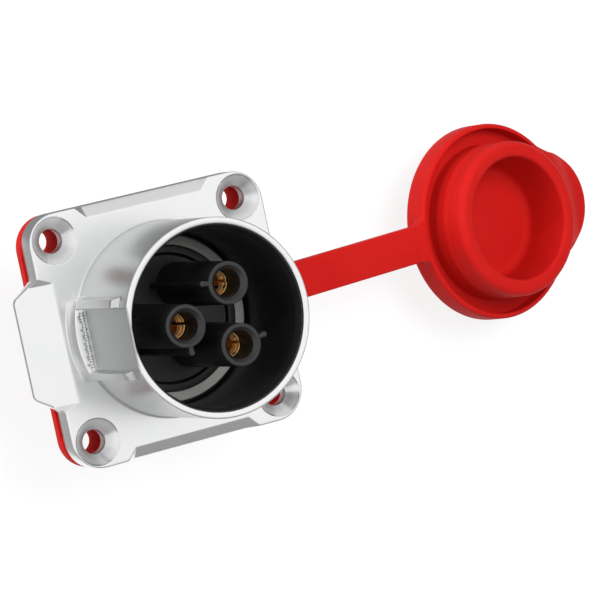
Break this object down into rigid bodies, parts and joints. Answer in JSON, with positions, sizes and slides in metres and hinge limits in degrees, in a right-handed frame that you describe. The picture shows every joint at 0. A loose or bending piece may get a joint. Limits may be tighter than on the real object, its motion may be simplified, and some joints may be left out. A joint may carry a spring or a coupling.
{
  "type": "panel-mount waterproof connector socket",
  "caption": "Square-flange waterproof power socket with a round metal shell, black insulator, socket contacts and a tethered red dust cap.",
  "frame": {"origin": "centre of the mounting face, the rear face of the gasket, on the mating axis", "axes": "+Z along the mating axis out of the mouth, +X towards the dust cap's strap, -X towards the latch recess"},
  "size_m": [0.0971, 0.0342, 0.0376],
  "materials": {
    "nickel_casting": "satin nickel plate on a zinc die casting",
    "black_insulator": "fine satin, glass-filled",
    "plated_brass": "nickel plated",
    "spring_steel": "turned or stamped, zinc plated",
    "grey_seal": "matte",
    "red_silicone": "satin silicone",
    "gold_contact": "gold plated, bright"
  },
  "bodies": {
    "root": {"circlip": "spring_steel", "clamp_screw_1": "spring_steel", "clamp_screw_2": "spring_steel", "clamp_screw_3": "spring_steel", "contact_1": "gold_contact", "contact_2": "gold_contact", "contact_3": "gold_contact", "contact_o_ring_1": "grey_seal", "contact_o_ring_2": "grey_seal", "contact_o_ring_3": "grey_seal", "face_seal": "grey_seal", "floor_o_ring": "grey_seal", "front_insulator": "black_insulator", "gasket": "red_silicone", "housing": "nickel_casting", "insulator_nut": "plated_brass", "rear_insulator": "black_insulator"},
    "strap": {"strap": "red_silicone"},
    "cap": {"dust_cap": "red_silicone"}
  },
  "joints": [
    {"name": "strap_root_bend", "type": "hinge", "parent": "root", "child": "strap", "pos_m": [0.02317, 0.00032, 0.0011], "axis": [0.0136, -0.9999, 0], "range_deg": [-10, 114.97], "stiffness_Nm_per_rad": 0.04},
    {"name": "strap_cap_bend", "type": "hinge", "parent": "strap", "child": "cap", "pos_m": [0.03957, 0.00054, -0.00277], "axis": [0.0136, -0.9999, 0], "range_deg": [-10, 78.28], "stiffness_Nm_per_rad": 0.04}
  ]
}
